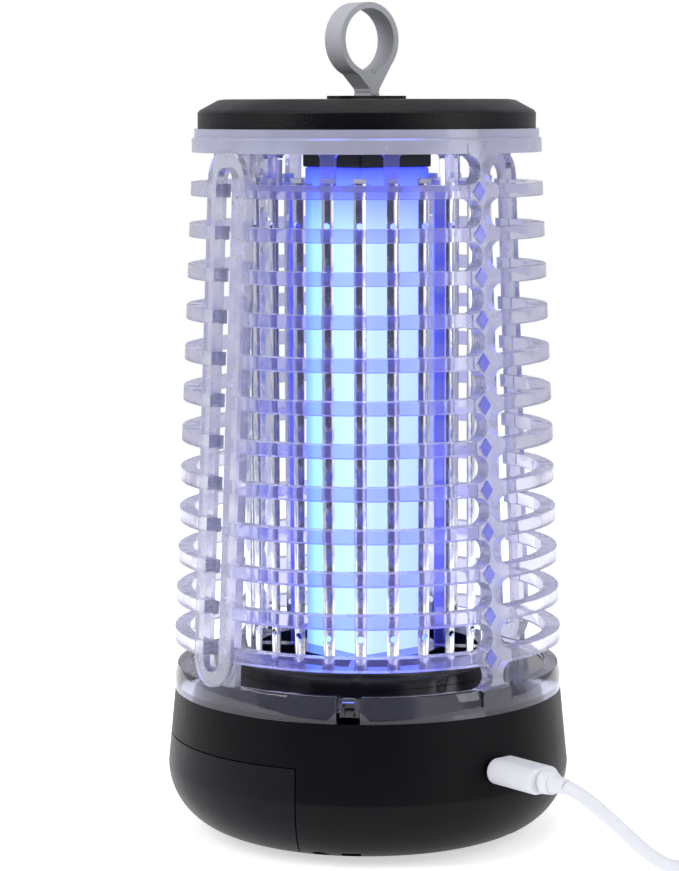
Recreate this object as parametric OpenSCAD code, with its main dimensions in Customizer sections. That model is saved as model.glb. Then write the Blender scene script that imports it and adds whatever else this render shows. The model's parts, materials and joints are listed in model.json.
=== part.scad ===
// Rechargeable bug zapper: round base with a drawer, strip grid round a lit column, clear cage and cap.
// +Z is up, the origin is under the middle of the base on the resting surface, and -Y is the front.
// Azimuths are degrees round +Z from the front, positive towards +X.

/* [Base] */
// Largest radius of the base
base_r = 60.6; // [59:0.1:62]
// Radius of the flat underside
foot_r = 41; // [40:0.5:42]
// Height of the shoulder under the clear ring
shoulder_z = 43.2; // [42.8:0.1:43.6]
// Radius of the base at the shoulder
shoulder_r = 58.4; // [57.5:0.1:59]
// Height of the deck
deck_z = 49.8; // [49.4:0.1:50.2]
// Radius of the collar that carries the cage
collar_r = 53.6; // [53:0.1:54]
// Wall thickness of the housings
wall = 2; // [1.6:0.1:2.4]
// Height of the seam between housing and bottom cover
seam_z = 19.9; // [19.5:0.1:20.3]

/* [Collection tray] */
// Distance of the tray's end seam from the centre plane
tray_x = 15.4; // [14:0.2:17]
// Height of the tray's top seam
tray_z = 29.8; // [29.4:0.1:30.2]
// Gap round the tray
tray_gap = 0.35; // [0.3:0.05:0.5]
// Half width of the bin that reaches under the grid
bin_y = 29; // [26:1:30]

/* [Grid] */
// Radius of the circle of metal strips
grid_r = 36.5; // [35.5:0.5:37.5]
// Number of metal strips
strips = 24; // [16:2:24]
// Azimuth of the first strip
strip_az = 2.4; // [0:0.1:5]
// Width of a strip
strip_w = 3.6; // [3:0.1:4]
// Thickness of a strip
strip_t = 1.2; // [1:0.1:1.4]
// Height of the top of the strips
strip_top = 195.6; // [194:0.2:196]

/* [Lamp] */
// Side of the square lit column
lamp_w = 26.6; // [24:0.2:27]
// Height of the top of the lit column
lamp_top = 199.6; // [199:0.1:200.5]

/* [Cage] */
// Number of horizontal ribs
ribs = 12; // [10:1:12]
// Height of the middle of the lowest rib
rib_low = 60.1; // [59.8:0.1:60.4]
// Height of the middle of the highest rib
rib_high = 193.4; // [193:0.1:193.8]
// Height of a rib
rib_h = 3.9; // [3.5:0.1:4.2]
// Outer radius of the lowest rib
cage_r_low = 58.4; // [58:0.1:58.8]
// Outer radius of the highest rib
cage_r_high = 52.4; // [52:0.1:53]
// Radial depth of the ribs and posts
cage_t = 4.6; // [4:0.1:5]
// Width of the two looped posts
loop_post_w = 17.4; // [16.6:0.2:18]

/* [Cap] */
// Height of the cap's underside
cap_z = 211; // [210.8:0.1:211.4]
// Height of the cap's flat top
cap_top = 219.6; // [219:0.1:220]
// Radius of the cap
cap_r = 50.2; // [50:0.1:51]

/* [Hanging loop] */
// Outer radius of the strap loop
loop_r = 11; // [10:0.5:12]
// Thickness of the strap
strap_t = 1.8; // [1.5:0.1:2]
// Width of the strap
strap_w = 7.6; // [7:0.2:9]
// Height of the top of the loop
loop_top = 248; // [247:0.5:249]

/* [Cable] */
// Diameter of the cable
cable_d = 3.9; // [3.6:0.1:4]
// Height of the charging port
port_z = 27.6; // [27.4:0.1:27.8]
// Azimuth of the charging port
port_az = 45; // [44:1:46]

/* [Hidden] */
$fn = 96;

// Underside of the base: the feet stand this far below it
foot_z = 1;
// Radius of the rounded lower edge
round_r = base_r - foot_r;
// Height of the widest point of the base
edge_z = foot_z + round_r;
floor_top = foot_z + wall;
deck_t = 2.2;
// Screw positions in the base, as [x, y]
base_screw_xy = [[44, 24], [44, -24], [-9, 48], [-9, -48]];
boss_r = 3.2;
screw_r = 1.3;
// Small slot in the lower front edge
pry_slot_r = foot_r + 7;
pry_slot_z = foot_z + 2;
// Electronics bay
bulkhead_x = 19.2;
bulkhead_t = 1.5;
battery_r = 9;
battery_l = 50;
battery_x = 31;
battery_z = floor_top + 1 + battery_r;
board_z = port_z - 3.2;
board_t = 1.6;
// Button and its hole at the back of the base
button_r = 4.5;
button_z = 34;
// Platform under the grid
platform_r = 42;
platform_top = 55.2;
// Distance that the strap's round part leans to one side
loop_lean = 1.8;
// Heights of the eyes in the strips
eye_z = [63.6, 183.3];
// Openings through deck and platform for the insects to fall through
fall_r_in = 21.5;
fall_r_out = 33.6;
spoke_w = 5;
// Height of the contact rings under the deck
bus_z = deck_z - 4.9;
// Cage
post_az = [45, 135, 225, 315];
loop_post_az = [135, 315];
diamond_post_az = [45, 225];
bar_az = [-26.5, -7, 13.5, 33];
rib_pitch = (rib_high - rib_low) / (ribs - 1);
ring_r = 52;
ring_z = 204.1;
// Ends of the posts and of the slots in the looped posts
post_low = shoulder_z + 3;
post_high = ring_z + 3;
slot_w = 7.6;
slot_low = shoulder_z + 11.2;
slot_high = ring_z - 4;
// Half width of a diamond post between two ribs, and the round window ends beside it
waist = 1.4;
window_end_r = (rib_pitch - rib_h) / 2 + 0.1;
// Width of the bars over the top rib and the radius of the window corners above them
bar_w = 4;
corner_r = 1.7;
foot_ring_in = collar_r + 0.35;
// Loop's pivot
strap_az = 45;
boss_top = cap_top + 1;
pivot_z = boss_top + strap_t + 0.2;

// Outer radius of the cage at height z
function cage_r(z) = cage_r_low + (cage_r_high - cage_r_low) * (z - rib_low) / (rib_high - rib_low);

// Places children on an azimuth, r out from the axis
module at(az, r = 0, z = 0) {
    rotate([0, 0, az]) translate([0, -r, z]) children();
}

// Ring between two radii and two heights
module ring(r_in, r_out, z0, z1) {
    translate([0, 0, z0]) difference() {
        cylinder(r = r_out, h = z1 - z0);
        translate([0, 0, -1]) cylinder(r = r_in, h = z1 - z0 + 2);
    }
}

// Round bar or bore along a radius
module radial_bore(az, z, r, from, to) {
    at(az, from, z) rotate([90, 0, 0]) cylinder(r = r, h = to - from, $fn = 32);
}

// ---- Base ----

// Base up to the deck, drawn in by inset: half a round-edged outline turned about the axis
module base_solid(inset = 0) {
    low = foot_z + inset;
    rotate_extrude() {
        intersection() {
            translate([foot_r, edge_z]) circle(r = round_r - inset);
            translate([foot_r, low]) square([round_r, edge_z - low]);
        }
        translate([0, low]) square([foot_r, edge_z - low]);
        polygon([[0, edge_z], [foot_r + round_r - inset, edge_z],
            [shoulder_r - inset, shoulder_z - inset], [0, shoulder_z - inset]]);
        translate([0, edge_z]) square([collar_r - inset, deck_z - (inset > 0 ? deck_t : 0) - edge_z]);
    }
}

module base_shell() {
    difference() {
        base_solid();
        base_solid(wall);
    }
}

// Space that the tray's front takes out of the base, grown by g
module tray_bay(g = 0) {
    translate([-base_r - 10, -base_r - 10, 0])
        cube([base_r + 10 - tray_x + g, 2 * base_r + 20, tray_z + g]);
}

module fall_openings(z0, z1) {
    difference() {
        ring(fall_r_in, fall_r_out, z0, z1);
        for (a = [0, 90]) at(a, 0, z0 - 1)
            translate([-spoke_w / 2, -platform_r, 0]) cube([spoke_w, 2 * platform_r, z1 - z0 + 2]);
    }
}

module screw_boss(xy, z0, z1) {
    translate([xy[0], xy[1], z0]) cylinder(r = boss_r, h = z1 - z0, $fn = 32);
}

module base_housing() {
    color("#17171a") difference() {
        union() {
            difference() {
                base_shell();
                translate([0, 0, -1]) cylinder(r = base_r + 5, h = seam_z + 1);
                tray_bay(tray_gap);
            }
            for (p = base_screw_xy) screw_boss(p, seam_z + 2, shoulder_z - wall + 0.5);
        }
        // Latch recess in the front edge of the deck
        at(0, collar_r, deck_z - 8) cylinder(r = 4, h = 9);
        at(0, collar_r - 2, shoulder_z + 0.4) translate([-3.9, -6, 0]) cube([7.8, 8, 10]);
        fall_openings(deck_z - deck_t - 1, deck_z + 1);
        for (i = [0 : strips - 1]) strip_hole(i, deck_z - deck_t - 1, deck_z + 1);
        translate([0, 0, deck_z - deck_t - 1]) cylinder(r = 7, h = deck_t + 2);
        for (p = base_screw_xy)
            translate([p[0], p[1], seam_z]) cylinder(r = screw_r, h = 12, $fn = 32);
        at(port_az, base_r - 6, port_z) port_hole(0.3, 10);
        radial_bore(180, button_z, button_r + 0.25, base_r - 8, base_r + 4);
        radial_bore(194, button_z, 1.5, base_r - 8, base_r + 4);
    }
}

module bottom_cover() {
    color("#1a1a1e") difference() {
        union() {
            difference() {
                base_shell();
                translate([0, 0, seam_z]) cylinder(r = base_r + 5, h = 60);
                difference() {
                    tray_bay(tray_gap);
                    cylinder(r = foot_r, h = floor_top);
                }
            }
            intersection() {
                base_solid();
                translate([bulkhead_x, -50, foot_z + 1]) cube([bulkhead_t, 100, seam_z - foot_z - 1.2]);
            }
            intersection() {
                base_solid();
                for (p = base_screw_xy) screw_boss(p, foot_z, seam_z + 1.8);
            }
        }
        for (p = base_screw_xy) {
            translate([p[0], p[1], -1]) cylinder(r = screw_r + 0.3, h = 30, $fn = 32);
            translate([p[0], p[1], -1]) cylinder(r = 2.6, h = 8.5, $fn = 32);
        }
        for (a = [45 : 90 : 315]) at(a, foot_r - 8, foot_z - 1) cylinder(r = 3.2, h = 1.8, $fn = 48);
        at(0, pry_slot_r, pry_slot_z) cube([5.6, 6, 1.6], center = true);
    }
}

module rubber_feet() {
    color("#2b2b2e") for (a = [45 : 90 : 315]) at(a, foot_r - 8) cylinder(r = 3.2, h = 1.8, $fn = 48);
}

module base_screws() {
    color("silver") for (p = base_screw_xy) translate([p[0], p[1], 0]) {
        translate([0, 0, 5.6]) cylinder(r = 2.4, h = 1.9, $fn = 32);
        translate([0, 0, 7.5]) cylinder(r = screw_r, h = 20, $fn = 32);
    }
}

// ---- Collection tray ----

module collection_tray() {
    bin_top = tray_z - 1.2;
    color("#1c1c21") difference() {
        union() {
            intersection() {
                base_solid();
                tray_bay();
                translate([-base_r, -base_r, floor_top + 0.4]) cube([2 * base_r, 2 * base_r, tray_z]);
            }
            tray_rim();
            translate([-tray_x - 4, -bin_y, floor_top + 0.4])
                cube([tray_x + 4 + bulkhead_x - 1, 2 * bin_y, bin_top - floor_top - 0.4]);
        }
        intersection() {
            base_solid(wall);
            translate([-base_r, -base_r, floor_top + 2]) cube([base_r - tray_x - wall, 2 * base_r, tray_z]);
        }
        translate([-tray_x - 6, -bin_y + wall, floor_top + 2])
            cube([tray_x + 6 + bulkhead_x - 1 - wall, 2 * (bin_y - wall), tray_z]);
    }
}

// The curved lower edge of the tray, outside the flat underside
module tray_rim() {
    intersection() {
        difference() {
            base_shell();
            cylinder(r = foot_r + 0.3, h = floor_top + 0.4);
        }
        tray_bay();
    }
}

// ---- Electronics ----

module circuit_board() {
    color("#1f6b3a") difference() {
        intersection() {
            translate([0, 0, board_z]) cylinder(r = 54.5, h = board_t);
            translate([bulkhead_x + bulkhead_t + 1, -46, board_z - 1]) cube([60, 92, board_t + 2]);
        }
        for (p = base_screw_xy) translate([p[0], p[1], board_z - 1]) cylinder(r = boss_r + 0.4, h = 4);
    }
}

module transformer() {
    color("#c9b458") translate([25, -9, board_z + board_t]) {
        cube([15, 18, 2]);
        translate([2, 2, 2]) cube([11, 14, 9]);
        translate([0, 0, 11]) cube([15, 18, 2]);
    }
}

module hv_capacitor() {
    color("#8b2f25") translate([27, 17, board_z + board_t]) cube([7, 14, 10]);
}

module battery_cell() {
    color("#3b74b8") translate([battery_x, battery_l / 2, battery_z]) rotate([90, 0, 0]) {
        cylinder(r = battery_r, h = battery_l);
        translate([0, 0, battery_l]) cylinder(r = 2.8, h = 1);
    }
}

module battery_clips() {
    color("silver") for (s = [-1, 1])
        translate([battery_x - 5, s > 0 ? battery_l / 2 : -battery_l / 2 - 1.8, floor_top + 1])
            cube([10, 0.8, 14]);
}

// Rounded flat opening or plug section, lying along the radius
module port_hole(grow, l) {
    w = 8.9 + 2 * grow;
    h = 3.2 + 2 * grow;
    rotate([90, 0, 0]) {
        for (s = [-1, 1]) translate([s * (w - h) / 2, 0, 0]) cylinder(r = h / 2, h = l, $fn = 32);
        translate([-(w - h) / 2, -h / 2, 0]) cube([w - h, h, l]);
    }
}

module usb_socket() {
    color("silver") at(port_az, 50, port_z) difference() {
        port_hole(0, 8);
        translate([0, -1, 0]) port_hole(-0.35, 8);
    }
}

module switch_body() {
    color("#303034") translate([-4, 45, button_z - 4]) cube([8, 6, 8]);
}

module power_button() {
    color("#2a2a2f") at(180, 52.6, button_z) rotate([90, 0, 0]) {
        cylinder(r = 1.6, h = 4, $fn = 32);
        translate([0, 0, 3]) cylinder(r = button_r, h = 4.6, $fn = 48);
    }
}

module indicator_lens() {
    color("#86d49a") radial_bore(194, button_z, 1.5, base_r - 5, base_r - 0.6);
}

module hv_wires() {
    from = board_z + board_t + 13;
    color("#b03030") for (x = [grid_r - 2.6, grid_r + 2.6])
        translate([x - 0.6, -0.6, from]) cube([1.2, 1.2, bus_z - from]);
}

// ---- Grid ----

module strip_section(grow = 0) {
    square([strip_w + 2 * grow, strip_t + 2 * grow], center = true);
}

module strip_hole(i, z0, z1) {
    at(strip_az + i * 360 / strips, grid_r, z0) linear_extrude(z1 - z0) strip_section(0.15);
}

// Every second strip, starting at first, with an eye near each end
module strip_set(first) {
    for (i = [first : 2 : strips - 1]) difference() {
        at(strip_az + i * 360 / strips, grid_r, bus_z - 0.6)
            linear_extrude(strip_top - bus_z + 0.6) strip_section();
        for (z = eye_z) radial_bore(strip_az + i * 360 / strips, z, 1, grid_r - 2, grid_r + 2);
    }
}

module live_strips() {
    color("#e8e8ec") strip_set(0);
}

module ground_strips() {
    color("#e8e8ec") strip_set(1);
}

module strip_tips() {
    color("white") for (i = [0 : strips - 1])
        at(strip_az + i * 360 / strips, grid_r, strip_top)
            linear_extrude(1.4) square([strip_w + 0.2, strip_t + 0.4], center = true);
}

// Contact ring joined to every second strip
module bus(r_in, r_out, first, tab_r, z) {
    difference() {
        union() {
            ring(r_in, r_out, z, z + 1);
            for (i = [first : 2 : strips - 1])
                at(strip_az + i * 360 / strips, tab_r, z) translate([-1, -1, 0]) cube([2, 2, 1]);
        }
        for (i = [first : 2 : strips - 1]) at(strip_az + i * 360 / strips, grid_r, z - 1)
            linear_extrude(3) strip_section();
    }
}

module live_bus() {
    color("#b8862c") bus(grid_r + strip_t / 2 + 0.8, grid_r + 4.4, 0, grid_r + strip_t / 2 + 0.6, bus_z);
}

module ground_bus() {
    color("#b8862c") bus(grid_r - 4, grid_r - strip_t / 2 - 0.8, 1, grid_r - strip_t / 2 - 0.6, bus_z);
}

module grid_platform() {
    color("#101013") difference() {
        translate([0, 0, deck_z]) cylinder(r = platform_r, h = platform_top - deck_z);
        fall_openings(deck_z - 1, platform_top + 1);
        for (i = [0 : strips - 1]) strip_hole(i, deck_z - 1, platform_top + 1);
        translate([0, 0, deck_z - 1]) cylinder(r = 7, h = platform_top);
    }
}

module upper_grid_ring() {
    z0 = strip_top - 2.4;
    color([0.85, 0.88, 1, 0.5]) difference() {
        union() {
            ring(grid_r - 2.6, grid_r + 2.2, z0, z0 + 1.6);
            for (a = [0, 90]) at(a, 0, z0)
                translate([-3, -grid_r + 2, 0]) cube([6, 2 * grid_r - 4, 1.6]);
        }
        rotate([0, 0, 45]) translate([-lamp_w / 2 - 0.1, -lamp_w / 2 - 0.1, z0 - 1])
            cube([lamp_w + 0.2, lamp_w + 0.2, 4]);
        for (i = [0 : strips - 1]) strip_hole(i, z0 - 1, z0 + 3);
    }
}

module grid_posts() {
    color([0.85, 0.88, 1, 0.5]) for (a = [90, 270]) at(a, 21.8, platform_top)
        translate([-1.2, -1.6, 0]) cube([2.4, 3.2, strip_top - 2.4 - platform_top]);
}

// ---- Lamp ----

module lamp_foot() {
    foot_w = lamp_w - 3.4;
    color("#141417") rotate([0, 0, 45]) translate([-foot_w / 2, -foot_w / 2, platform_top])
        cube([foot_w, foot_w, 4]);
}

module lamp_diffuser() {
    color([0.35, 0.75, 1, 0.8]) rotate([0, 0, 45]) translate([0, 0, platform_top]) difference() {
        translate([-lamp_w / 2, -lamp_w / 2, 0]) cube([lamp_w, lamp_w, lamp_top - platform_top]);
        translate([-lamp_w / 2 + 1.4, -lamp_w / 2 + 1.4, -1])
            cube([lamp_w - 2.8, lamp_w - 2.8, lamp_top]);
    }
}

module led_boards() {
    color("#f0f0f0") for (a = [45 : 90 : 315]) at(a, 7, platform_top + 4) {
        translate([-5, 0, 0]) cube([10, 1.2, lamp_top - platform_top - 8]);
        for (k = [0 : 9]) translate([-1.4, -1, 8 + k * 13]) cube([2.8, 1, 2.8]);
    }
}

module lamp_head() {
    color("#101014") rotate([0, 0, 45]) translate([0, 0, lamp_top]) {
        translate([-lamp_w / 2 - 0.4, -lamp_w / 2 - 0.4, 0]) cube([lamp_w + 0.8, lamp_w + 0.8, 8]);
        translate([-lamp_w / 2 + 1.6, -lamp_w / 2 + 1.6, -3]) cube([lamp_w - 3.2, lamp_w - 3.2, 3]);
    }
}

// ---- Cage ----

// Tapering wall of the cage between two heights, from t deep to proud outside the ribs' own face
module cage_wall(z0, z1, t = cage_t, proud = 0) {
    rotate_extrude() polygon([
        [cage_r(z0) - t, z0], [cage_r(z0) + proud, z0],
        [cage_r(z1) + proud, z1], [cage_r(z1) - t, z1]]);
}

// Upright round-ended outline, w wide, run out along the radius on an azimuth
module stadium(az, w, z0, z1) {
    r = w / 2;
    at(az) rotate([90, 0, 0]) linear_extrude(70) polygon(concat(
        [for (a = [0 : 15 : 180]) [r * cos(a), z1 - r + r * sin(a)]],
        [for (a = [180 : 15 : 360]) [r * cos(a), z0 + r + r * sin(a)]]));
}

// Looped frame, and behind its round ends a web down to the foot ring and up to the top ring
module looped_post(az) {
    intersection() {
        cage_wall(post_low, post_high, cage_t - 1.4, 0.7);
        stadium(az, loop_post_w, shoulder_z + 6.9, ring_z + 1);
    }
    intersection() {
        union() {
            cage_wall(post_low, rib_low, cage_t - 1.2, -1.2);
            cage_wall(rib_high, ring_z + 1.4, cage_t - 1.2, -1.2);
        }
        at(az) translate([-loop_post_w / 2 + 0.1, -70, 0]) cube([loop_post_w - 0.2, 70, cap_z]);
    }
}

// Post with a narrow waist between the ribs, where the windows end in half circles
module diamond_post(az) {
    half_w = waist + window_end_r;
    intersection() {
        cage_wall(post_low, post_high, cage_t - 0.2, 0.35);
        at(az) rotate([90, 0, 0]) linear_extrude(70) difference() {
            translate([-half_w, post_low - 1]) square([2 * half_w, post_high - post_low + 2]);
            for (i = [0 : ribs - 1], s = [-1, 1])
                translate([s * (half_w + 0.05), rib_low + (i + 0.5) * rib_pitch]) circle(r = window_end_r);
            for (s = [-1, 1]) translate([s * (half_w + 0.05), rib_low - rib_h / 2 - 3.6]) circle(r = 3.7);
        }
    }
    for (i = [0 : ribs - 1]) diamond(az - 2.6, rib_low + i * rib_pitch);
}

// Raised lozenge beside the middle of a diamond post
module diamond(az, z) {
    at(az, cage_r(z) - 1, z) rotate([90, 0, 0]) linear_extrude(1.9)
        polygon([[2.1, 0], [0, 2.8], [-2.1, 0], [0, -2.8]]);
}

// Lower ring that sits on the shoulder round the collar
module foot_ring() {
    low = shoulder_z + 0.1;
    difference() {
        rotate_extrude() polygon([[foot_ring_in, low], [shoulder_r, low], [shoulder_r, low + 4.9],
            [shoulder_r - 0.8, low + 7.4], [foot_ring_in, low + 7.4]]);
        at(0, foot_ring_in - 2, low - 1) translate([-3.5, -5, 0]) cube([7, 5, 9]);
        at(0, foot_ring_in + 1, low - 1) translate([-3.4, -7, 0]) cube([6.8, 7, 4.4]);
        at(0, foot_ring_in + 1, low + 3) translate([-1.7, -7, 0]) cube([3.4, 7, 3.2]);
    }
}

module top_ring() {
    rotate_extrude() polygon([[ring_r - 5.2, ring_z], [ring_r, ring_z], [ring_r, ring_z + 3.9],
        [ring_r - 0.8, ring_z + 4.5], [ring_r - 0.8, cap_z], [ring_r - 5.2, cap_z]]);
}

// Bar between the top rib and the top ring, widened by round corners under the ring
module window_bar(az) {
    top = ring_z + 0.3;
    w = bar_w / 2;
    corner = [for (a = [0 : 15 : 90]) [w + corner_r * (1 - cos(a)), top - corner_r * (1 - sin(a))]];
    intersection() {
        cage_wall(rib_high + 0.4, ring_z + 0.5, cage_t - 0.8, -0.3);
        at(az) rotate([90, 0, 0]) linear_extrude(70) polygon(concat(
            [[-w, rib_high], [w, rib_high]], corner, [[w + corner_r, cap_z], [-w - corner_r, cap_z]],
            [for (i = [len(corner) - 1 : -1 : 0]) [-corner[i][0], corner[i][1]]]));
    }
}

module clear_cage() {
    color([0.86, 0.88, 1, 0.45]) difference() {
        union() {
            foot_ring();
            top_ring();
            for (i = [0 : ribs - 1]) {
                z = rib_low + i * rib_pitch;
                cage_wall(z - rib_h / 2, z + rib_h / 2);
            }
            for (a = loop_post_az) looped_post(a);
            for (a = diamond_post_az) diamond_post(a);
            for (q = [0, 180], a = bar_az) window_bar(q + a);
        }
        for (a = post_az) at(a, ring_r - 3.9, cap_z - 5) translate([-3.5, -1, 0]) cube([7, 2, 6]);
        for (a = loop_post_az) stadium(a, slot_w, slot_low, slot_high);
    }
}

module latch() {
    color("#0e0e10") at(0, collar_r - 1.4, shoulder_z + 1) {
        translate([-3, -1.6, 0]) cube([6, 2.8, 5.6]);
        translate([-1.4, -3.4, 0.4]) cube([2.8, 2, 2.2]);
    }
}

// ---- Cap and hanging loop ----

module top_cap() {
    color("#141416") difference() {
        union() {
            rotate_extrude() polygon([[0, cap_z], [cap_r, cap_z], [cap_r, cap_z + 4.6],
                [cap_r - 0.6, cap_z + 5.4], [cap_r - 6, cap_top - 0.3], [cap_r - 8, cap_top], [0, cap_top]]);
            at(strap_az - 90, 0, cap_top) oval_boss();
            for (a = post_az) at(a, ring_r - 3.9, cap_z - 4.8) translate([-3.3, -0.9, 0]) cube([6.6, 1.8, 5]);
        }
        translate([0, 0, cap_z - 1]) cylinder(r = ring_r - 7, h = 6);
        at(strap_az, 0, cap_top - 6) translate([-strap_t - 0.1, -strap_w / 2 - 0.1, 0])
            cube([2 * strap_t + 0.2, strap_w + 0.2, 10]);
        at(strap_az) for (s = [-1, 1]) translate([s * 5.5, 0, cap_z]) cylinder(r = 1.1, h = 7, $fn = 32);
    }
}

module oval_boss() {
    for (s = [-1, 1]) translate([0, s * 7.5, -0.5]) cylinder(r = 6, h = 1.5);
    translate([-6, -7.5, -0.5]) cube([12, 15, 1.5]);
}

// Tongue and plate that hold the strap under the cap; the strap's round root lies in the tongue's hollow
module loop_anchor() {
    color("#808084") at(strap_az) difference() {
        union() {
            translate([-strap_t, -strap_w / 2, cap_z + 3])
                cube([2 * strap_t, strap_w, pivot_z - 1.2 - cap_z - 3]);
            translate([-8, -6, cap_z + 3]) cube([16, 12, 2]);
        }
        translate([0, strap_w / 2 + 1, pivot_z]) rotate([90, 0, 0])
            cylinder(r = strap_t + 0.15, h = strap_w + 2);
        for (s = [-1, 1]) translate([s * 5.5, 0, cap_z]) cylinder(r = 1.1, h = 8, $fn = 32);
    }
}

module anchor_screws() {
    color("silver") at(strap_az) for (s = [-1, 1]) translate([s * 5.5, 0, cap_z + 1.4]) {
        cylinder(r = 2, h = 1.6, $fn = 32);
        cylinder(r = 1.1, h = 5, $fn = 32);
    }
}

// Teardrop outline of the strap, y up from the pivot, its round part a little to one side
module strap_outline(inset) {
    r = loop_r - inset;
    cy = loop_top - loop_r - pivot_z;
    neck = strap_t - inset;
    a = 24;
    translate([-loop_lean, cy]) circle(r = r);
    polygon([[r * cos(a) - loop_lean, cy - r * sin(a)], [-r * cos(a) - loop_lean, cy - r * sin(a)],
        [-neck, inset > 0 ? 4 : 0], [neck, inset > 0 ? 4 : 0]]);
}

module hanging_loop() {
    color("#8f9094") at(strap_az, 0, pivot_z) rotate([90, 0, 0]) translate([0, 0, -strap_w / 2])
        linear_extrude(strap_w) {
            difference() {
                strap_outline(0);
                strap_outline(strap_t - 0.02);
            }
            circle(r = strap_t);
        }
}

// ---- Charging lead ----

// Distances from the axis of the plug's metal end, its moulded body and its strain relief
plug_r0 = 51;
plug_in = 60.3;
plug_out = 79;
boot_out = 88;
coil_xy = [128, -18];
coil_mid = 22;
coil_h = 12;
coil_w = 8;
// Points along the cable from the boot to the coil
route = [[62.2, -62.2, 27.6], [65.6, -65, 26.4], [69.8, -66.4, 23.6], [74.2, -65.6, 19.6],
    [78.6, -63.2, 15], [83, -60.2, 10.2], [87.4, -56.8, 6], [92, -53.4, 3.1], [97, -50.4, 2.1],
    [103, -47.2, 2], [109, -44.7, 2], [115, -43, 2], [121, -42.2, 2], [128, -42, 2]];
// Points along the cable from the top of the coil to the far plug
tail = [[152, -18, 9.8], [152.4, -14, 9.2], [152.6, -10, 7.6],
    [152.4, -6, 5.8], [152, -2, 4.7], [152, 2, 4.5]];

function unit(v) = v / norm(v);
function heading(p, i) = unit(p[min(i + 1, len(p) - 1)] - p[max(i - 1, 0)]);
function side_of(t) = unit(cross(t, [0, 0, 1]));
function tube_ring(p, i, r, n) = let (t = heading(p, i), s = side_of(t), u = cross(s, t))
    [for (k = [0 : n - 1]) p[i] + r * (cos(360 * k / n) * s + sin(360 * k / n) * u)];

// Round tube swept along the points p
module tube(p, r, n = 8) {
    last = (len(p) - 1) * n;
    polyhedron(
        points = [for (i = [0 : len(p) - 1]) each tube_ring(p, i, r, n)],
        faces = concat(
            [[for (k = [0 : n - 1]) k]],
            [[for (k = [n - 1 : -1 : 0]) last + k]],
            [for (i = [0 : len(p) - 2], k = [0 : n - 1])
                [i * n + k, (i + 1) * n + k, (i + 1) * n + (k + 1) % n, i * n + (k + 1) % n]]));
}

// Flat oval section of the charging plug, w wide and h high, lying along the radius
module plug_form(w, h, from, to) {
    at(port_az, from, port_z) rotate([90, 0, 0]) {
        for (s = [-1, 1]) translate([s * (w - h) / 2, 0, 0]) cylinder(r = h / 2, h = to - from, $fn = 48);
        translate([-(w - h) / 2, -h / 2, 0]) cube([w - h, h, to - from]);
    }
}

module plug_shell() {
    color("silver") plug_form(7.9, 2.2, plug_r0, plug_in);
}

module plug_body() {
    color("white") plug_form(12, 7.6, plug_in, plug_out);
}

module plug_boot() {
    color("white") at(port_az, plug_out, port_z) rotate([90, 0, 0]) {
        cylinder(r1 = 3.7, r2 = 3.3, h = 3.6, $fn = 48);
        translate([0, 0, 3.6])
            cylinder(r1 = 2.7, r2 = cable_d / 2 + 0.1, h = boot_out - plug_out - 3.6, $fn = 48);
    }
}

module cable() {
    color("white") tube(route, cable_d / 2);
}

module cable_coil() {
    color("white") translate([coil_xy[0], coil_xy[1], 0])
        ring(coil_mid - coil_w / 2, coil_mid + coil_w / 2, 0, coil_h);
}

module cable_tail() {
    color("white") tube(tail, cable_d / 2);
}

module coil_tie() {
    color("#202022") translate([coil_xy[0] - coil_mid, coil_xy[1], 0]) difference() {
        translate([-coil_w / 2 - 1, -3, 0]) cube([coil_w + 2, 6, coil_h + 0.8]);
        translate([-coil_w / 2, -4, 0.8]) cube([coil_w, 8, coil_h - 0.8]);
    }
}

module far_plug_body() {
    color("white") translate([152, 2, 4.5]) {
        rotate([-90, 0, 0]) cylinder(r1 = cable_d / 2 + 0.3, r2 = 3, h = 6, $fn = 48);
        translate([-6.2, 6, -3.6]) cube([12.4, 18, 7.2]);
    }
}

module far_plug_shell() {
    color("silver") translate([152 - 6, 26, 4.5 - 2.25]) difference() {
        cube([12, 12, 4.5]);
        translate([0.4, 1, 0.4]) cube([11.2, 12, 3.7]);
    }
}

base_housing();
bottom_cover();
rubber_feet();
base_screws();
collection_tray();
circuit_board();
transformer();
hv_capacitor();
battery_cell();
battery_clips();
usb_socket();
indicator_lens();
power_button();
switch_body();
hv_wires();
grid_platform();
live_strips();
ground_strips();
strip_tips();
live_bus();
ground_bus();
upper_grid_ring();
grid_posts();
lamp_foot();
led_boards();
lamp_diffuser();
lamp_head();
clear_cage();
latch();
top_cap();
loop_anchor();
anchor_screws();
hanging_loop();
plug_shell();
plug_body();
plug_boot();
cable();
cable_coil();
cable_tail();
coil_tie();
far_plug_body();
far_plug_shell();
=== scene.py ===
"""Electric bug zapper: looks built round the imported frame."""
import json
import math

import bmesh
import bpy
from mathutils import Matrix, Vector

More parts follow.
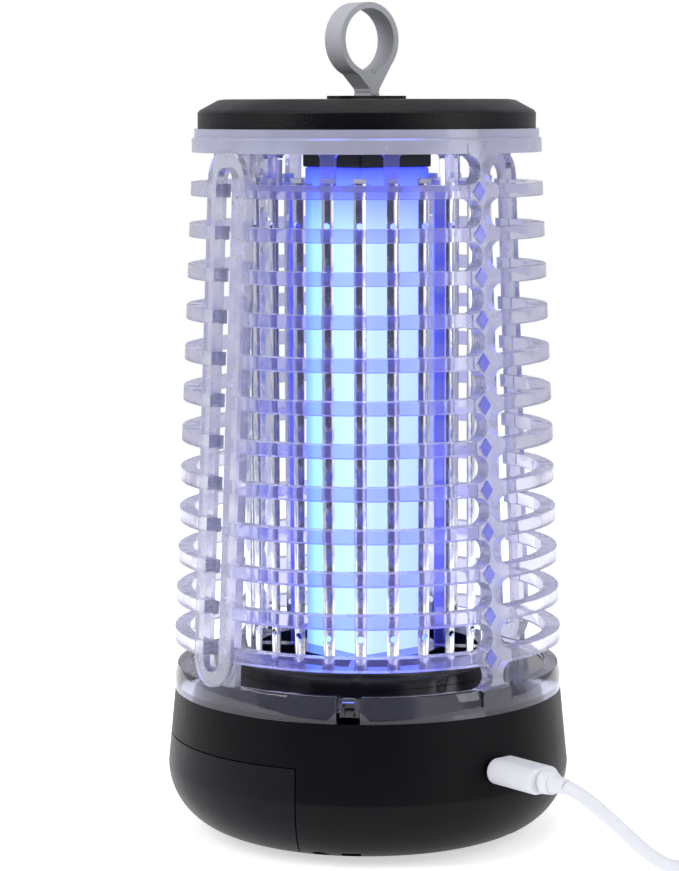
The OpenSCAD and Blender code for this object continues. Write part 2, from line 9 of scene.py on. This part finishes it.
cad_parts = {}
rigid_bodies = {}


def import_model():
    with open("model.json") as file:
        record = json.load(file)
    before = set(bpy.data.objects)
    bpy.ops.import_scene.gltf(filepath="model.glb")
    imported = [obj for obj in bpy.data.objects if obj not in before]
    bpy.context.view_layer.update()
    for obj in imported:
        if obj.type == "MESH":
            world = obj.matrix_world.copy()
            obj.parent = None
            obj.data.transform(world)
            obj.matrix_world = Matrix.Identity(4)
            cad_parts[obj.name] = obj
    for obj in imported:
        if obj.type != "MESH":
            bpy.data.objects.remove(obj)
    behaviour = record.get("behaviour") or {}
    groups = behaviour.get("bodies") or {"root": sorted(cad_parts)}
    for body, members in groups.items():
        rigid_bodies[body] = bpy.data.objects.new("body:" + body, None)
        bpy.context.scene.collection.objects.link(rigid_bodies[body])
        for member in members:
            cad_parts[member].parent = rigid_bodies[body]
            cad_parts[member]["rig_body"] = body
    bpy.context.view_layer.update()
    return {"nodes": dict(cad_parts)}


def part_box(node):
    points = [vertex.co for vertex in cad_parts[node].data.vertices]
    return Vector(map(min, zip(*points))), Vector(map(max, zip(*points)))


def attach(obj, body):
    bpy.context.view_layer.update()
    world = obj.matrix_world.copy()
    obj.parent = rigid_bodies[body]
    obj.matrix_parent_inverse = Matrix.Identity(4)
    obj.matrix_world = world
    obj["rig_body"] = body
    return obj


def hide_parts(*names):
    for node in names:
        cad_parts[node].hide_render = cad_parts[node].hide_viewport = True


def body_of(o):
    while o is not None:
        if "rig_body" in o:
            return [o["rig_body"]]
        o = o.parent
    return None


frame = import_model()
NODES = frame["nodes"]
MM = 0.001


# ---- Measures, in millimetres and degrees ----

def foot_of(node):
    """Height of a CAD node's lowest point, to a hundredth."""
    return round(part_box(node)[0].z / MM, 2)


def top_of(node):
    """Height of a CAD node's highest point, to a hundredth."""
    return round(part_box(node)[1].z / MM, 2)


# Middle heights and outer radii of the lowest and the highest rib
CAGE_Z_LOW, CAGE_Z_HIGH = 60.1, 193.4
CAGE_R_LOW, CAGE_R_HIGH = 58.4, 52.4
# Underside of the cage's top ring, just above its foot ring, and where the collar turns glossy
RING_Z = top_of("clear_cage") - 6.9
FOOT_RING_TOP = foot_of("clear_cage") + 7.5
COLLAR_Z = top_of("base_housing") - 1.2
# Azimuths of the posts, half their widths, and how far the diamonds stand out
POST_AZ = 45
POST_HALF_AZ = 5.5
LOOPED_AZ = 135
LOOPED_HALF_AZ = 9.2
DIAMOND_PROUD = 0.5
# Circle of metal strips
GRID_R = 36.5
STRIPS = 24
STRIP_AZ = 2.4
STRIP_LOW = foot_of("live_strips")
STRIP_TOP = top_of("live_strips")
LAMP_TOP = top_of("lamp_diffuser")
CABLE_D = 3.9


def cage_r(z):
    """Outer radius of the ribs at height z."""
    return CAGE_R_LOW + (CAGE_R_HIGH - CAGE_R_LOW) * (z - CAGE_Z_LOW) / (CAGE_Z_HIGH - CAGE_Z_LOW)


def polar(azimuth, r, z):
    """Point in metres, azimuth in degrees from the front towards +X."""
    a = math.radians(azimuth)
    return Vector((r * math.sin(a), -r * math.cos(a), z)) * MM


# ---- Mesh helpers ----

def mesh_object(name, bm):
    """Turns a bmesh into an object in the scene."""
    mesh = bpy.data.meshes.new(name)
    bm.to_mesh(mesh)
    bm.free()
    piece = bpy.data.objects.new(name, mesh)
    bpy.context.collection.objects.link(piece)
    return piece


def stands_for(piece, node):
    """Lets a piece ride with a CAD node's body and be shown in place of the node."""
    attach(piece, body_of(NODES[node])[0])
    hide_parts(node)


def add_modifier(piece, kind, **settings):
    """Adds a modifier and sets what it takes."""
    modifier = piece.modifiers.new(kind.title(), kind)
    for key, value in settings.items():
        setattr(modifier, key, value)


def freeze(piece):
    """Applies a piece's modifiers to its mesh."""
    depsgraph = bpy.context.evaluated_depsgraph_get()
    mesh = bpy.data.meshes.new_from_object(piece.evaluated_get(depsgraph))
    piece.modifiers.clear()
    piece.data = mesh


def solid_between(bm, lower, upper):
    """Closed solid between two matching outlines."""
    a = [bm.verts.new(p) for p in lower]
    b = [bm.verts.new(p) for p in upper]
    bm.faces.new(a)
    bm.faces.new(list(reversed(b)))
    for i in range(len(a)):
        j = (i + 1) % len(a)
        bm.faces.new((a[i], a[j], b[j], b[i]))


# Points closer than this are one, and faces that meet flatter than this are joined
MERGE_GAP = 0.002
FLAT_ANGLE = 0.3
# Edges sharper than this are rounded
EDGE_ANGLE = 30


def soften(node, width):
    """Stands for a CAD node with its own shape, its edges rounded by width millimetres."""
    bm = bmesh.new()
    bm.from_mesh(NODES[node].data)
    bmesh.ops.remove_doubles(bm, verts=bm.verts, dist=MERGE_GAP * MM)
    bmesh.ops.dissolve_limit(bm, angle_limit=math.radians(FLAT_ANGLE), verts=bm.verts, edges=bm.edges)
    piece = mesh_object(node + "_shape", bm)
    piece.data.materials.append(NODE_MATERIALS[node])
    piece.data.shade_smooth()
    add_modifier(piece, "BEVEL", width=width * MM, segments=3, limit_method="ANGLE",
                 angle_limit=math.radians(EDGE_ANGLE), harden_normals=False)
    add_modifier(piece, "WEIGHTED_NORMAL", keep_sharp=True, weight=80)
    freeze(piece)
    stands_for(piece, node)
    return piece


# ---- Materials ----

def nodes_of(name):
    """New material with its node tree and its shader."""
    material = bpy.data.materials.new(name)
    material.use_nodes = True
    tree = material.node_tree
    shader = tree.nodes["Principled BSDF"]
    return material, tree, shader


def texture(tree, kind, scale, **settings):
    """Procedural texture in object coordinates."""
    coords = tree.nodes.get("Texture Coordinate") or tree.nodes.new("ShaderNodeTexCoord")
    node = tree.nodes.new(kind)
    node.inputs["Scale"].default_value = scale
    for key, value in settings.items():
        node.inputs[key].default_value = value
    tree.links.new(coords.outputs["Object"], node.inputs["Vector"])
    return node


def ramp(tree, source, stops):
    """Colour ramp on a value, from (place, colour) stops."""
    node = tree.nodes.new("ShaderNodeValToRGB")
    elements = node.color_ramp.elements
    while len(elements) < len(stops):
        elements.new(0.5)
    for element, (place, colour) in zip(elements, stops):
        element.position = place
        element.color = (*colour, 1)
    tree.links.new(source, node.inputs["Fac"])
    return node


def bump(tree, shader, height, strength, distance=0.0002):
    """Fine relief from a height texture."""
    node = tree.nodes.new("ShaderNodeBump")
    node.inputs["Strength"].default_value = strength
    node.inputs["Distance"].default_value = distance
    tree.links.new(height, node.inputs["Height"])
    tree.links.new(node.outputs["Normal"], shader.inputs["Normal"])


def plastic(name, colour, rough, grain=2500, depth=0.15, coat=0.0, spread=0.15, specular=0.5):
    """Moulded plastic: fine grain, faint cloudiness in colour and gloss."""
    material, tree, shader = nodes_of(name)
    cloud = texture(tree, "ShaderNodeTexNoise", 60, Detail=4)
    dark = tuple(c * (1 - spread) for c in colour)
    light = tuple(min(1, c * (1 + spread)) for c in colour)
    tint = ramp(tree, cloud.outputs["Fac"], [(0.3, dark), (0.7, light)])
    tree.links.new(tint.outputs["Color"], shader.inputs["Base Color"])
    gloss = ramp(tree, cloud.outputs["Fac"],
                 [(0.3, (rough * 0.88,) * 3), (0.7, (min(1, rough * 1.12),) * 3)])
    tree.links.new(gloss.outputs["Color"], shader.inputs["Roughness"])
    fine = texture(tree, "ShaderNodeTexNoise", grain, Detail=3)
    bump(tree, shader, fine.outputs["Fac"], depth)
    shader.inputs["Specular IOR Level"].default_value = specular
    shader.inputs["Coat Weight"].default_value = coat
    shader.inputs["Coat Roughness"].default_value = 0.12
    return material


def metal(name, colour, rough, brushed=0.05):
    """Metal with fine scratches in its gloss."""
    material, tree, shader = nodes_of(name)
    scratch = texture(tree, "ShaderNodeTexNoise", 900, Detail=3)
    gloss = ramp(tree, scratch.outputs["Fac"], [(0.3, (rough * 0.7,) * 3), (0.7, (rough * 1.4,) * 3)])
    tree.links.new(gloss.outputs["Color"], shader.inputs["Roughness"])
    shader.inputs["Base Color"].default_value = (*colour, 1)
    shader.inputs["Metallic"].default_value = 1
    bump(tree, shader, scratch.outputs["Fac"], brushed)
    return material


def clear_plastic(name, tint, rough, clear):
    """Clear moulding: mostly refracts, with a milky share, faint flow marks and a cool tint."""
    material, tree, shader = nodes_of(name)
    flow = texture(tree, "ShaderNodeTexNoise", 140, Detail=3)
    haze = ramp(tree, flow.outputs["Fac"], [(0.35, (rough * 0.5,) * 3), (0.75, (rough * 1.5,) * 3)])
    tree.links.new(haze.outputs["Color"], shader.inputs["Roughness"])
    colour = ramp(tree, flow.outputs["Fac"], [(0.3, tuple(c * 0.93 for c in tint)), (0.7, tint)])
    tree.links.new(colour.outputs["Color"], shader.inputs["Base Color"])
    shader.inputs["Transmission Weight"].default_value = clear
    shader.inputs["IOR"].default_value = 1.49
    bump(tree, shader, flow.outputs["Fac"], 0.12, 0.0004)
    return material


# Distances from the centre plane between which the painted lamp glow comes in, and what it paints: a
# lavender tint and a faint violet emission
PAINTED_GLOW_FROM = 40
PAINTED_GLOW_TO = 50
PAINTED_GLOW_TINT = (0.6, 0.6, 0.9, 1)
PAINTED_GLOW_EMISSION = [(0.0, (0.0, 0.0, 0.01)), (1.0, (0.008, 0.009, 0.09))]


def paint_lamp_glow(material):
    """Paints the lamp's violet light onto a clear moulding's front and back, where the windows are: a
    painted lavender tint and a painted violet glow from emission.
    """
    tree = material.node_tree
    shader = tree.nodes["Principled BSDF"]
    own_colour = shader.inputs["Base Color"].links[0].from_socket
    coords = tree.nodes["Texture Coordinate"]
    split = tree.nodes.new("ShaderNodeSeparateXYZ")
    tree.links.new(coords.outputs["Object"], split.inputs[0])
    depth = tree.nodes.new("ShaderNodeMath")
    depth.operation = "ABSOLUTE"
    tree.links.new(split.outputs["Y"], depth.inputs[0])
    share = tree.nodes.new("ShaderNodeMapRange")
    share.inputs["From Min"].default_value = PAINTED_GLOW_FROM * MM
    share.inputs["From Max"].default_value = PAINTED_GLOW_TO * MM
    tree.links.new(depth.outputs["Value"], share.inputs["Value"])
    # Painted lamp light: the base colour turns lavender on the front and back
    tint = tree.nodes.new("ShaderNodeMix")
    tint.data_type = "RGBA"
    tint.inputs["B"].default_value = PAINTED_GLOW_TINT
    tree.links.new(share.outputs["Result"], tint.inputs["Factor"])
    tree.links.new(own_colour, tint.inputs["A"])
    tree.links.new(tint.outputs["Result"], shader.inputs["Base Color"])
    # Painted glow: the clear moulding emits faint violet there, as if lit by the lamp
    painted_glow = ramp(tree, share.outputs["Result"], PAINTED_GLOW_EMISSION)
    tree.links.new(painted_glow.outputs["Color"], shader.inputs["Emission Color"])
    shader.inputs["Emission Strength"].default_value = 1.0
    return material


BASE_BLACK = plastic("base_black", (0.002, 0.002, 0.003), 0.4, grain=2600, depth=0.25, specular=0.09)
COVER_BLACK = plastic("cover_black", (0.003, 0.003, 0.004), 0.38, grain=2600, depth=0.22, specular=0.11)
TRAY_BLACK = plastic("tray_black", (0.004, 0.004, 0.007), 0.38, grain=2600, depth=0.22, specular=0.12)
CAP_BLACK = plastic("cap_black", (0.002, 0.002, 0.003), 0.4, grain=1400, depth=0.8, specular=0.2)
DECK_BLACK = plastic("deck_black", (0.008, 0.008, 0.01), 0.16, grain=1200, depth=0.05, coat=0.4)
LAMP_BLACK = plastic("lamp_black", (0.004, 0.004, 0.006), 0.5)
RUBBER = plastic("foot_rubber", (0.03, 0.03, 0.034), 0.8, grain=1800, depth=0.4)
BUTTON = plastic("button_black", (0.03, 0.03, 0.034), 0.4, depth=0.2)
SWITCH = plastic("switch_dark", (0.05, 0.05, 0.06), 0.5)
SILICONE = plastic("silicone_grey", (0.34, 0.35, 0.38), 0.55, grain=1500, depth=0.3, spread=0.06,
                   specular=0.35)
LEAD = plastic("lead_white", (0.6, 0.61, 0.65), 0.38, grain=1800, depth=0.1, spread=0.02)
TIP = plastic("tip_white", (0.8, 0.8, 0.86), 0.5, spread=0.04)
TIE = plastic("tie_black", (0.02, 0.02, 0.024), 0.8, grain=900, depth=0.9)
BOARD = plastic("board_green", (0.03, 0.2, 0.08), 0.35, grain=400, depth=0.3, coat=0.3)
TAPE = plastic("transformer_tape", (0.6, 0.45, 0.12), 0.4)
DIPPED = plastic("capacitor_red", (0.35, 0.06, 0.03), 0.25, coat=0.4)
CELL = plastic("cell_blue", (0.06, 0.2, 0.45), 0.3, coat=0.3)
WIRE = plastic("wire_red", (0.4, 0.02, 0.02), 0.35)
LED_WHITE = plastic("led_board", (0.8, 0.8, 0.8), 0.4)
LENS = plastic("lens_green", (0.3, 0.7, 0.4), 0.25, coat=0.4)
STEEL = metal("screw_steel", (0.55, 0.55, 0.57), 0.3)
NICKEL = metal("contact_metal", (0.72, 0.72, 0.74), 0.2)
BRASS = metal("bus_brass", (0.72, 0.5, 0.2), 0.28)
CHROME = metal("strip_chrome", (0.86, 0.87, 0.9), 0.16, 0.06)
# The cage's front and back carry a painted lamp glow
CLEAR = paint_lamp_glow(clear_plastic("clear_cage", (0.78, 0.78, 0.89), 0.06, 0.93))
CLEAR_FRAME = clear_plastic("clear_frame", (0.75, 0.75, 0.92), 0.25, 0.55)
MILKY = clear_plastic("clear_ring", (0.55, 0.56, 0.72), 0.2, 0.5)
CLEAR_DARK = clear_plastic("clear_foot_ring", (0.5, 0.5, 0.66), 0.04, 0.98)
CLEAR_POST = clear_plastic("clear_post", (0.68, 0.68, 0.84), 0.3, 0.7)
CLEAR_LOOP = clear_plastic("clear_looped_post", (0.74, 0.74, 0.86), 0.24, 0.78)
DIAMOND = clear_plastic("clear_diamond", (0.2, 0.22, 0.85), 0.12, 0.6)
PIPE_BLUE = clear_plastic("pipe_blue", (0.26, 0.28, 0.9), 0.12, 0.8)


# Strength of the lamp's light
GLOW_LEVEL = 4.0
# Direction across the lamp, half its reach, its colours from left to right, and the blue top
GLOW_AXIS = (0.995, 0.097, 0)
GLOW_HALF = 19
GLOW_ACROSS = [(0.0, (0.05, 0.09, 0.9)), (0.08, (0.115, 0.23, 1.0)), (0.3, (0.16, 0.25, 1.0)),
               (0.46, (0.17, 0.25, 1.0)), (0.56, (0.15, 0.21, 1.0)), (0.75, (0.145, 0.2, 1.0)),
               (0.92, (0.13, 0.185, 1.0)), (1.0, (0.03, 0.05, 0.8))]
GLOW_TOP = (0.018, 0.026, 0.4, 1)
GLOW_TOP_REACH = 22


def glow_material():
    """Lit diffuser: cyan-white where the light is strongest, deep blue at the sides and top."""
    material, tree, shader = nodes_of("lamp_glow")
    coords = tree.nodes.new("ShaderNodeTexCoord")
    axis = tree.nodes.new("ShaderNodeVectorMath")
    axis.operation = "DOT_PRODUCT"
    axis.inputs[1].default_value = GLOW_AXIS
    tree.links.new(coords.outputs["Object"], axis.inputs[0])
    spread = tree.nodes.new("ShaderNodeMapRange")
    spread.inputs["From Min"].default_value = -GLOW_HALF * MM
    spread.inputs["From Max"].default_value = GLOW_HALF * MM
    tree.links.new(axis.outputs["Value"], spread.inputs["Value"])
    colour = ramp(tree, spread.outputs["Result"], GLOW_ACROSS)
    split = tree.nodes.new("ShaderNodeSeparateXYZ")
    tree.links.new(coords.outputs["Object"], split.inputs[0])
    height = tree.nodes.new("ShaderNodeMapRange")
    height.inputs["From Min"].default_value = (LAMP_TOP - GLOW_TOP_REACH) * MM
    height.inputs["From Max"].default_value = LAMP_TOP * MM
    tree.links.new(split.outputs["Z"], height.inputs["Value"])
    top = tree.nodes.new("ShaderNodeMix")
    top.data_type = "RGBA"
    top.inputs["B"].default_value = GLOW_TOP
    tree.links.new(height.outputs["Result"], top.inputs["Factor"])
    tree.links.new(colour.outputs["Color"], top.inputs["A"])
    tree.links.new(top.outputs["Result"], shader.inputs["Emission Color"])
    shader.inputs["Emission Strength"].default_value = GLOW_LEVEL
    shader.inputs["Base Color"].default_value = (0.02, 0.05, 0.2, 1)
    shader.inputs["Roughness"].default_value = 0.5
    return material


GLOW = glow_material()

NODE_MATERIALS = {
    "base_housing": BASE_BLACK, "bottom_cover": COVER_BLACK, "collection_tray": TRAY_BLACK,
    "rubber_feet": RUBBER, "base_screws": STEEL, "anchor_screws": STEEL, "circuit_board": BOARD,
    "transformer": TAPE, "hv_capacitor": DIPPED, "battery_cell": CELL, "battery_clips": NICKEL,
    "usb_socket": NICKEL, "plug_shell": NICKEL, "far_plug_shell": NICKEL, "indicator_lens": LENS,
    "power_button": BUTTON, "switch_body": SWITCH, "hv_wires": WIRE, "grid_platform": DECK_BLACK,
    "latch": DECK_BLACK, "live_strips": CHROME, "ground_strips": CHROME, "strip_tips": TIP,
    "live_bus": BRASS, "ground_bus": BRASS, "upper_grid_ring": CLEAR_FRAME, "grid_posts": PIPE_BLUE,
    "clear_cage": CLEAR, "lamp_foot": LAMP_BLACK, "lamp_head": LAMP_BLACK, "led_boards": LED_WHITE,
    "lamp_diffuser": GLOW, "top_cap": CAP_BLACK, "loop_anchor": SILICONE, "hanging_loop": SILICONE,
    "plug_body": LEAD, "plug_boot": LEAD, "cable": LEAD, "cable_coil": LEAD, "cable_tail": LEAD,
    "coil_tie": TIE, "far_plug_body": LEAD,
}
for node_name, material in NODE_MATERIALS.items():
    mesh = NODES[node_name].data
    mesh.materials.clear()
    mesh.materials.append(material)


# ---- Colour ----

bpy.context.scene.view_settings.view_transform = "Standard"


# ---- Camera ----

# Where the camera stands and how it is turned, in degrees and millimetres
CAMERA_AZ = 5.55
CAMERA_PITCH = 6.78
CAMERA_ROLL = 0.11
CAMERA_OUT = 830
CAMERA_UP = 217.7
# Focal length and sideways shift, over the frame's width
FOCAL = 4.087
SHIFT = -0.041


def make_camera():
    """Camera at the photograph's angle."""
    data = bpy.data.cameras.new("camera")
    data.sensor_fit = "HORIZONTAL"
    data.sensor_width = 36
    data.lens = FOCAL * data.sensor_width
    data.shift_x = SHIFT
    data.clip_start = 0.05
    data.clip_end = 20
    camera = bpy.data.objects.new("camera", data)
    bpy.context.collection.objects.link(camera)
    camera.location = polar(CAMERA_AZ, CAMERA_OUT, CAMERA_UP)
    camera.rotation_euler = (Matrix.Rotation(math.radians(CAMERA_AZ), 4, "Z")
                             @ Matrix.Rotation(math.radians(90 - CAMERA_PITCH), 4, "X")
                             @ Matrix.Rotation(math.radians(-CAMERA_ROLL), 4, "Z")).to_euler()
    bpy.context.scene.camera = camera


make_camera()


# ---- Softened pieces ----

# Edge radius of each piece, in millimetres
SOFT_EDGES = {
    "clear_cage": 0.4, "base_housing": 0.35, "bottom_cover": 0.3, "collection_tray": 0.3,
    "top_cap": 0.5, "grid_platform": 0.5, "hanging_loop": 0.25, "loop_anchor": 0.2,
    "plug_body": 1.1, "plug_boot": 0.3, "latch": 0.2, "upper_grid_ring": 0.2, "grid_posts": 0.5,
    "lamp_head": 0.6, "lamp_diffuser": 0.8, "lamp_foot": 0.5, "strip_tips": 0.2,
    "power_button": 0.4, "far_plug_body": 1.0, "far_plug_shell": 0.3, "plug_shell": 0.2,
    "coil_tie": 0.3, "rubber_feet": 0.3, "base_screws": 0.2, "anchor_screws": 0.2,
}
SOFT = {node_name: soften(node_name, edge) for node_name, edge in SOFT_EDGES.items()}


def other_material(piece, material, chosen):
    """Gives the faces whose middle, in millimetres, is chosen another material."""
    piece.data.materials.append(material)
    for face in piece.data.polygons:
        if chosen(face.center / MM):
            face.material_index = len(piece.data.materials) - 1


def near_azimuth(middle, azimuth, half):
    """True within half degrees of an azimuth or of the one opposite."""
    own = math.degrees(math.atan2(middle.x, -middle.y)) % 180
    return abs(own - azimuth) < half


def on_diamond_post(middle):
    """True near the two posts that carry the diamonds."""
    return near_azimuth(middle, POST_AZ, POST_HALF_AZ)


def on_looped_post(middle):
    """True near the two looped posts."""
    return near_azimuth(middle, LOOPED_AZ, LOOPED_HALF_AZ)


def on_diamond(middle):
    """True on the diamonds, which stand proud of the post."""
    return on_diamond_post(middle) and middle.xy.length > cage_r(middle.z) + DIAMOND_PROUD


other_material(SOFT["base_housing"], DECK_BLACK, lambda middle: middle.z > COLLAR_Z)
other_material(SOFT["clear_cage"], CLEAR_POST, on_diamond_post)
other_material(SOFT["clear_cage"], CLEAR_LOOP, on_looped_post)
other_material(SOFT["clear_cage"], DIAMOND, on_diamond)
other_material(SOFT["clear_cage"], MILKY, lambda middle: middle.z > RING_Z)
other_material(SOFT["clear_cage"], CLEAR_DARK, lambda middle: middle.z < FOOT_RING_TOP)


# ---- Charging lead ----

# Points along the lead: from the strain relief to the coil, and from the coil to the far plug
ROUTE = [(62.2, -62.2, 27.6), (65.6, -65, 26.4), (69.8, -66.4, 23.6), (74.2, -65.6, 19.6),
         (78.6, -63.2, 15), (83, -60.2, 10.2), (87.4, -56.8, 6), (92, -53.4, 3.1), (97, -50.4, 2.1),
         (103, -47.2, 2), (109, -44.7, 2), (115, -43, 2), (121, -42.2, 2), (128, -42, 2)]
TAIL = [(152, -18, 9.8), (152.4, -14, 9.2), (152.6, -10, 7.6),
        (152.4, -6, 5.8), (152, -2, 4.7), (152, 2, 4.5)]
# Middle of the coil and the radii of its turns
COIL_X, COIL_Y = 128, -18
COIL_OUT, COIL_IN = 24, 20.1
# Radius and height of each turn
COIL_ROWS = [(COIL_OUT, 2.0), (COIL_IN, 2.0), (COIL_IN, 5.9),
             (COIL_OUT, 5.9), (COIL_IN, 9.8), (COIL_OUT, 9.8)]
TURN_STEPS = 24
# Share of a turn in which the lead crosses to the next row
CHANGE = 0.2


def coil_points():
    """Turns from the coil's front, counterclockwise, to its right side on top."""
    points = []
    total = len(COIL_ROWS) * TURN_STEPS + TURN_STEPS // 4
    for k in range(1, total):
        turn = min(k // TURN_STEPS, len(COIL_ROWS) - 1)
        part = k / TURN_STEPS - turn
        r, z = COIL_ROWS[turn]
        if turn > 0 and part < CHANGE:
            r0, z0 = COIL_ROWS[turn - 1]
            s = part / CHANGE
            s = s * s * (3 - 2 * s)
            r, z = r0 + (r - r0) * s, z0 + (z - z0) * s
        a = math.radians(-90 + 360 * k / TURN_STEPS)
        points.append((COIL_X + r * math.cos(a), COIL_Y + r * math.sin(a), z))
    return points


def make_lead():
    """Smooth lead from the strain relief through the coil to the far plug."""
    data = bpy.data.curves.new("charging_lead", "CURVE")
    data.dimensions = "3D"
    data.bevel_depth = CABLE_D / 2 * MM
    data.bevel_resolution = 4
    data.resolution_u = 4
    data.use_fill_caps = True
    points = ROUTE + coil_points() + TAIL
    spline = data.splines.new("BEZIER")
    spline.bezier_points.add(len(points) - 1)
    for target, p in zip(spline.bezier_points, points):
        target.co = Vector(p) * MM
        target.handle_left_type = "AUTO"
        target.handle_right_type = "AUTO"
    lead = bpy.data.objects.new("charging_lead", data)
    bpy.context.collection.objects.link(lead)
    data.materials.append(LEAD)
    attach(lead, "base")
    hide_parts("cable", "cable_coil", "cable_tail")
    return lead


lead = make_lead()


# ---- Metal strips ----

# Width of a strip, and heights, radius and cut of its eyes
STRIP_W = 3.6
EYE_Z = (63.6, 183.3)
EYE_R = 1.0
EYE_DEPTH = 5
# Half the angle that the crowned front spans, and how far front and back lie behind the grid's radius
CROWN_REACH = 50
FRONT_SET = 0.25
BACK_SET, BACK_HOLLOW = 0.55, 0.42
# Edges sharper than this stay sharp
SHARP_ANGLE = 35


def strip_outline(steps=12):
    """Crowned front and slightly hollow back of a rolled strip, as (across, out) points."""
    half = STRIP_W / 2
    reach = math.radians(CROWN_REACH)
    r = half / math.sin(reach)
    front = []
    for k in range(steps + 1):
        a = reach * (1 - 2 * k / steps)
        front.append((r * math.sin(a), r * (math.cos(a) - math.cos(reach)) - FRONT_SET))
    back = [(-half, -BACK_SET), (-half * 0.5, -BACK_HOLLOW), (half * 0.5, -BACK_HOLLOW), (half, -BACK_SET)]
    return front + back


def eye_cutter(first):
    """Rods through both eyes of every second strip."""
    bm = bmesh.new()
    for i in range(first, STRIPS, 2):
        azimuth = STRIP_AZ + i * 360 / STRIPS
        for z in EYE_Z:
            place = Matrix.Translation(polar(azimuth, GRID_R, z))
            place = place @ Matrix.Rotation(math.radians(azimuth), 4, "Z")
            place = place @ Matrix.Rotation(math.pi / 2, 4, "X")
            bmesh.ops.create_cone(bm, cap_ends=True, segments=20, radius1=EYE_R * MM,
                                  radius2=EYE_R * MM, depth=EYE_DEPTH * MM, matrix=place)
    return mesh_object("eye_cutter", bm)


def strip_set(name, first):
    """Every second strip of the grid, its eyes punched through."""
    bm = bmesh.new()
    section = strip_outline()
    heights = [STRIP_LOW, STRIP_TOP]
    for i in range(first, STRIPS, 2):
        azimuth = STRIP_AZ + i * 360 / STRIPS
        turn = Matrix.Rotation(math.radians(azimuth), 4, "Z")
        rings = [[turn @ (Vector((x, -GRID_R - y, z)) * MM) for x, y in section] for z in heights]
        solid_between(bm, *rings)
    bmesh.ops.recalc_face_normals(bm, faces=bm.faces)
    strips = mesh_object(name + "_shape", bm)
    strips.data.materials.append(CHROME)
    cutter = eye_cutter(first)
    add_modifier(strips, "BOOLEAN", object=cutter, operation="DIFFERENCE", solver="EXACT")
    freeze(strips)
    bpy.data.objects.remove(cutter)
    strips.data.shade_smooth()
    strips.data.set_sharp_from_angle(angle=math.radians(SHARP_ANGLE))
    stands_for(strips, name)


strip_set("live_strips", 0)
strip_set("ground_strips", 1)


# ---- Light and floor ----

# Side of the floor and how far it is set back, in metres, and how strongly it glows
FLOOR = 1.2
FLOOR_BACK = 0.3
FLOOR_GLOW = 0.56
# Height that the lamps point at
MIDDLE_Z = 120
# Grey level of the room in diffuse light
ROOM = 0.62
# What reflections see round the horizon, by degrees from the front
FLAGS = [(-180, (0.7, 0.7, 0.74)), (-100, (0.6, 0.6, 0.64)), (-66, (0.5, 0.5, 0.55)),
         (-58, (0.05, 0.05, 0.09)), (-20, (0.08, 0.08, 0.14)), (30, (0.06, 0.06, 0.12)),
         (38, (1.0, 1.0, 1.0)), (60, (1.0, 1.0, 1.0)), (68, (0.12, 0.12, 0.17)),
         (92, (0.14, 0.14, 0.2)), (108, (0.6, 0.6, 0.64)), (180, (0.7, 0.7, 0.74))]


def make_floor():
    """White floor that glows a little, so that it meets the backdrop without a line."""
    bpy.ops.mesh.primitive_plane_add(size=FLOOR, location=(0, FLOOR_BACK, 0))
    floor = bpy.context.object
    floor.name = "floor"
    material, tree, shader = nodes_of("floor_white")
    shader.inputs["Base Color"].default_value = (0.8, 0.8, 0.81, 1)
    shader.inputs["Roughness"].default_value = 0.7
    shader.inputs["Emission Color"].default_value = (1, 1, 1, 1)
    shader.inputs["Emission Strength"].default_value = FLOOR_GLOW
    floor.data.materials.append(material)


def flag_colours(tree):
    """Colour of the room's flags and panels, by the azimuth of the ray."""
    coords = tree.nodes.new("ShaderNodeTexCoord")
    split = tree.nodes.new("ShaderNodeSeparateXYZ")
    tree.links.new(coords.outputs["Generated"], split.inputs[0])
    front = tree.nodes.new("ShaderNodeMath")
    front.operation = "MULTIPLY"
    front.inputs[1].default_value = -1
    tree.links.new(split.outputs["Y"], front.inputs[0])
    azimuth = tree.nodes.new("ShaderNodeMath")
    azimuth.operation = "ARCTAN2"
    tree.links.new(split.outputs["X"], azimuth.inputs[0])
    tree.links.new(front.outputs["Value"], azimuth.inputs[1])
    turn = tree.nodes.new("ShaderNodeMapRange")
    turn.inputs["From Min"].default_value = -math.pi
    turn.inputs["From Max"].default_value = math.pi
    tree.links.new(azimuth.outputs["Value"], turn.inputs["Value"])
    stops = [(0.5 + degrees / 360, colour) for degrees, colour in FLAGS]
    return ramp(tree, turn.outputs["Result"], stops).outputs["Color"]


def choose(tree, switch, usual, special):
    """Takes the special colour where the switch is on and the usual one elsewhere."""
    mix = tree.nodes.new("ShaderNodeMix")
    mix.data_type = "RGBA"
    mix.inputs["B"].default_value = special
    tree.links.new(switch, mix.inputs["Factor"])
    tree.links.new(usual, mix.inputs["A"])
    return mix.outputs["Result"]


def make_world():
    """White backdrop, even diffuse light, and dark flags with a bright panel in reflections."""
    world = bpy.data.worlds.new("studio")
    bpy.context.scene.world = world
    world.use_nodes = True
    tree = world.node_tree
    path = tree.nodes.new("ShaderNodeLightPath")
    lit = choose(tree, path.outputs["Is Diffuse Ray"], flag_colours(tree), (ROOM, ROOM, ROOM, 1))
    seen = choose(tree, path.outputs["Is Camera Ray"], lit, (1, 1, 1, 1))
    background = tree.nodes["Background"]
    background.inputs["Strength"].default_value = 1.0
    tree.links.new(seen, background.inputs["Color"])


def soft_box(name, azimuth, out, up, size, power):
    """Rectangular lamp that points at the object's middle; sizes in metres, places in millimetres."""
    data = bpy.data.lights.new(name, "AREA")
    data.shape = "RECTANGLE"
    data.size, data.size_y = size
    data.energy = power
    light = bpy.data.objects.new(name, data)
    bpy.context.collection.objects.link(light)
    light.location = polar(azimuth, out, up)
    aim = Vector((0, 0, MIDDLE_Z * MM)) - light.location
    light.rotation_euler = aim.to_track_quat("-Z", "Y").to_euler()


make_floor()
make_world()
soft_box("key", -55, 900, 700, (0.5, 0.8), 7)
soft_box("fill", 70, 900, 500, (0.4, 0.9), 4)
soft_box("top", 0, 100, 1100, (0.8, 0.8), 3)
